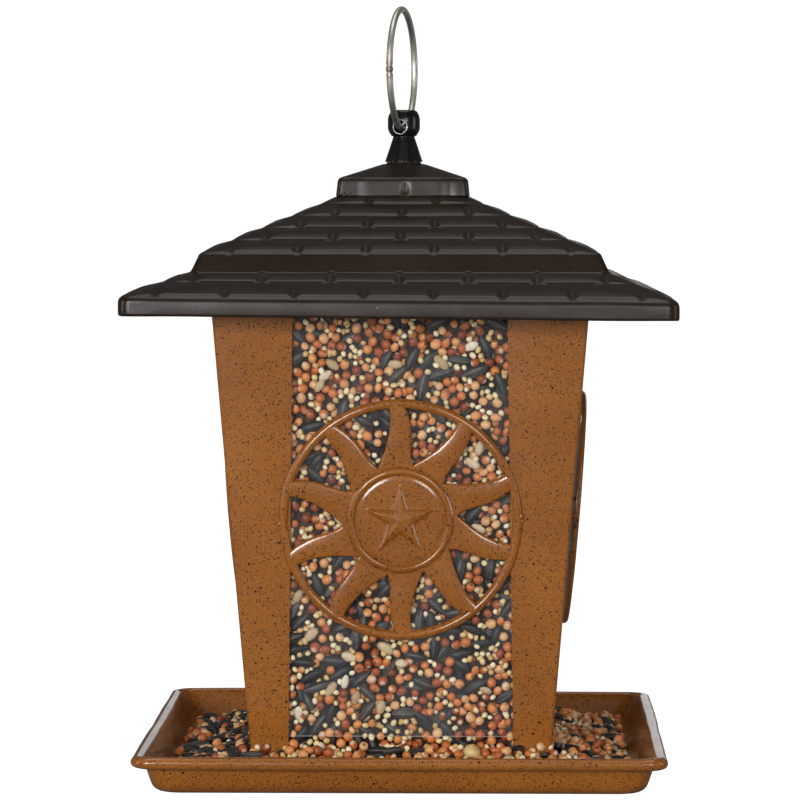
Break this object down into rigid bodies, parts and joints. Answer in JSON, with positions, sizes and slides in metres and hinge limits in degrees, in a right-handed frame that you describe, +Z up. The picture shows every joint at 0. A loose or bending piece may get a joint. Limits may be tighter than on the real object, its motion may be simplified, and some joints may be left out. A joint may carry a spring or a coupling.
{
  "type": "hanging lantern bird feeder",
  "caption": "Hanging lantern bird feeder with a stepped shingle roof, clear-windowed tapered hopper, sun medallions, a square seed tray and a wire hanging ring.",
  "frame": {"origin": "centre of the tray's underside, on the surface the feeder stands on", "axes": "+Z up along the central rod, the front medallion faces -Y, +X to the right seen from the front"},
  "size_m": [0.21, 0.21, 0.3018],
  "materials": {
    "speckled_paint": "semi-gloss rust-brown powder coat with fine black speckles",
    "roof_paint": "satin brown-black paint over pressed steel",
    "clear_window": "clear, slightly hazed plastic sheet",
    "zinc_hardware": "zinc-plated",
    "ring_steel": "bright nickel-plated wire",
    "rubber_seal": "matte black",
    "seed_mix": "matte loose seed: dark sunflower, red-brown milo and cream millet"
  },
  "bodies": {
    "feeder_body": {"tray": "speckled_paint", "corner_post_front_left": "speckled_paint", "corner_post_front_right": "speckled_paint", "corner_post_back_left": "speckled_paint", "corner_post_back_right": "speckled_paint", "window_channels": "speckled_paint", "top_frame": "speckled_paint", "window_front": "clear_window", "window_back": "clear_window", "window_left": "clear_window", "window_right": "clear_window", "sun_medallion_front": "speckled_paint", "sun_medallion_back": "speckled_paint", "sun_medallion_left": "speckled_paint", "sun_medallion_right": "speckled_paint", "seed_baffle": "speckled_paint", "center_rod": "zinc_hardware", "base_washer": "zinc_hardware", "base_nut": "zinc_hardware", "baffle_nut": "zinc_hardware", "seed_fill": "seed_mix", "tray_seed": "seed_mix"},
    "roof": {"main_roof": "roof_paint", "roof_cap": "roof_paint", "finial_washer": "rubber_seal"},
    "finial": {"finial": "roof_paint"},
    "ring": {"hanging_ring": "ring_steel"}
  },
  "joints": [
    {"name": "roof_lift", "type": "slide", "parent": "feeder_body", "child": "roof", "axis": [0, 0, 1], "range_m": [0, 0.12]},
    {"name": "finial_turn", "type": "hinge", "parent": "roof", "child": "finial", "pos_m": [0, 0, 0.25], "axis": [0, 0, 1], "continuous": true},
    {"name": "ring_swing", "type": "hinge", "parent": "finial", "child": "ring", "pos_m": [0, 0, 0.2537], "axis": [0.1908, 0.9816, 0], "range_deg": [-115, 115]}
  ]
}
